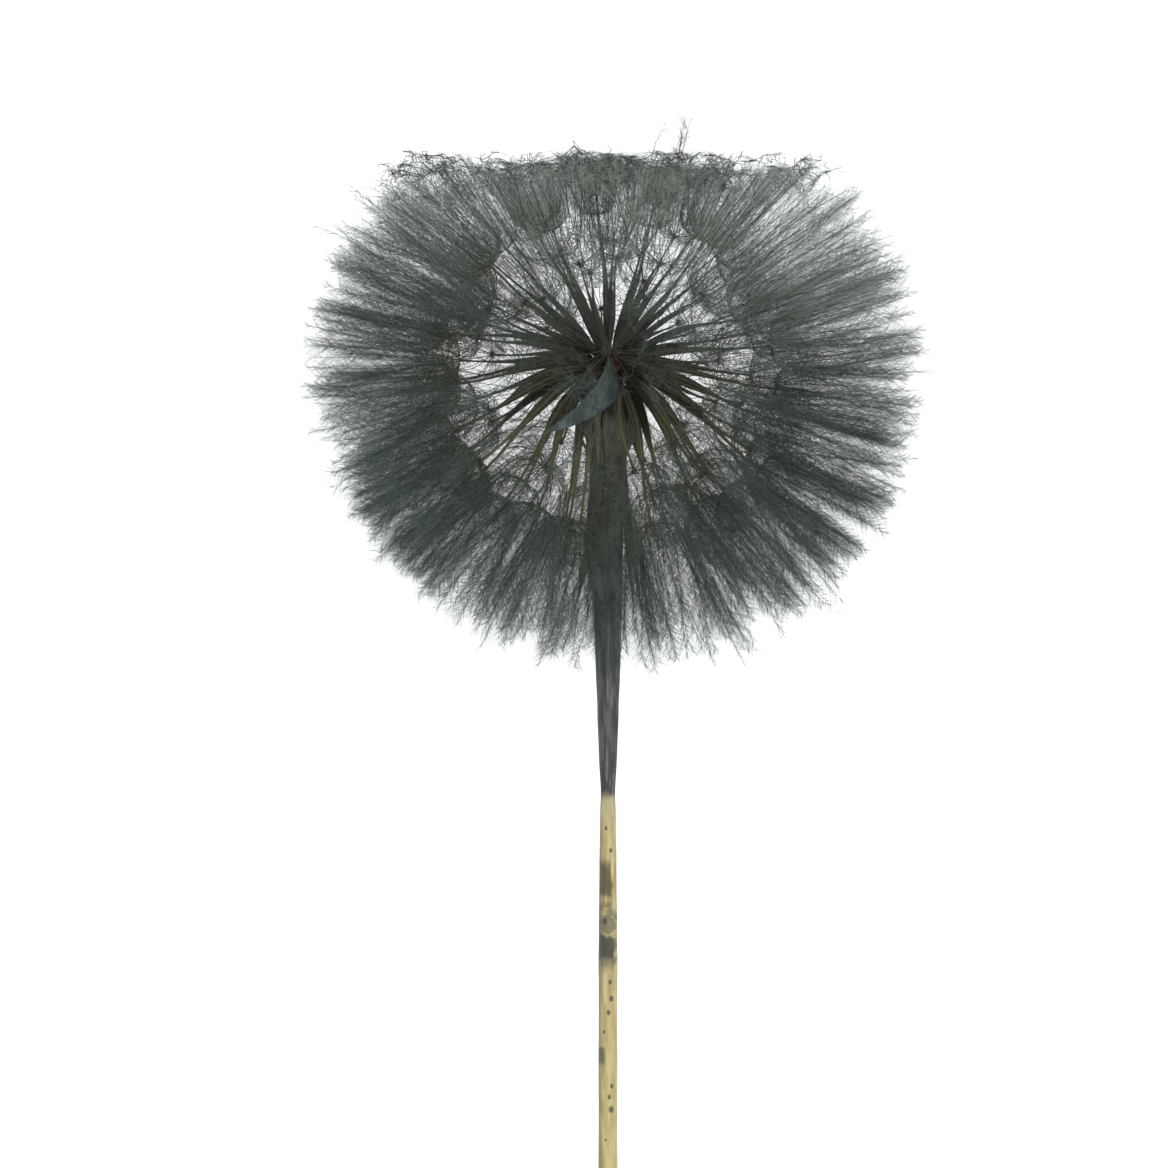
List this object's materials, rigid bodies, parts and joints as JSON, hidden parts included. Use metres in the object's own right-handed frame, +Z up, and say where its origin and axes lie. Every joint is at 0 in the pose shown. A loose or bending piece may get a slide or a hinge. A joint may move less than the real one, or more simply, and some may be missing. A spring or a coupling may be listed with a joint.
{
  "type": "dandelion seed head",
  "caption": "Dry seed head of the goat's-beard kind lying on its side: a round ball of seeds with feathery plumes, pressed flat at its crown, on a cut hollow stem with folded-back bracts.",
  "frame": {"origin": "bottom centre of the box of the whole plant as it lies: on the surface, under the middle of its length and width", "axes": "+Z up from the surface it lies on, +Y from the stem's cut end toward the head's crown, +X to the right seen from above with the head at the far end"},
  "size_m": [0.0882, 0.1568, 0.086],
  "materials": {
    "stem": "dry, matt, fine lengthwise fibres, grey near the head, blotched straw below",
    "receptacle": "dry, matt, pitted",
    "bract": "dry, papery, slate grey with brown streaks",
    "seed": "dry, ribbed, olive brown with straw-coloured edges",
    "plume": "fine slate-grey hair"
  },
  "bodies": {
    "root": {"stem": "stem", "receptacle": "receptacle", "folded_bract_1": "bract", "folded_bract_2": "bract", "folded_bract_3": "bract", "folded_bract_4": "bract", "folded_bract_5": "bract", "folded_bract_6": "bract", "folded_bract_7": "bract", "spread_bract": "bract", "fruit_pair_01": "plume", "fruit_pair_02": "plume", "fruit_pair_03": "plume", "fruit_pair_04": "plume", "fruit_pair_05": "plume", "fruit_pair_06": "plume", "fruit_pair_07": "plume", "fruit_pair_08": "plume", "fruit_pair_09": "plume", "fruit_pair_10": "plume", "fruit_pair_11": "plume", "fruit_pair_12": "plume", "fruit_pair_13": "plume", "fruit_pair_14": "plume", "fruit_pair_15": "plume", "fruit_pair_16": "plume", "fruit_pair_17": "plume", "fruit_pair_18": "plume", "fruit_pair_19": "plume", "fruit_pair_20": "plume", "fruit_pair_21": "plume", "fruit_pair_22": "plume", "fruit_pair_23": "plume", "fruit_pair_24": "plume", "fruit_pair_25": "plume", "fruit_pair_26": "plume", "fruit_pair_27": "plume", "fruit_pair_28": "plume", "fruit_pair_29": "plume", "fruit_pair_30": "plume", "fruit_pair_31": "plume", "fruit_pair_32": "plume", "fruit_pair_33": "plume", "fruit_pair_34": "plume", "fruit_pair_35": "plume", "fruit_pair_36": "plume", "fruit_pair_37": "plume", "fruit_pair_38": "plume", "fruit_pair_39": "plume", "fruit_pair_40": "plume", "fruit_pair_41": "plume", "fruit_pair_42": "plume", "fruit_pair_43": "plume", "fruit_pair_44": "plume", "fruit_pair_45": "plume", "fruit_pair_46": "plume", "fruit_pair_47": "plume"}
  },
  "joints": []
}
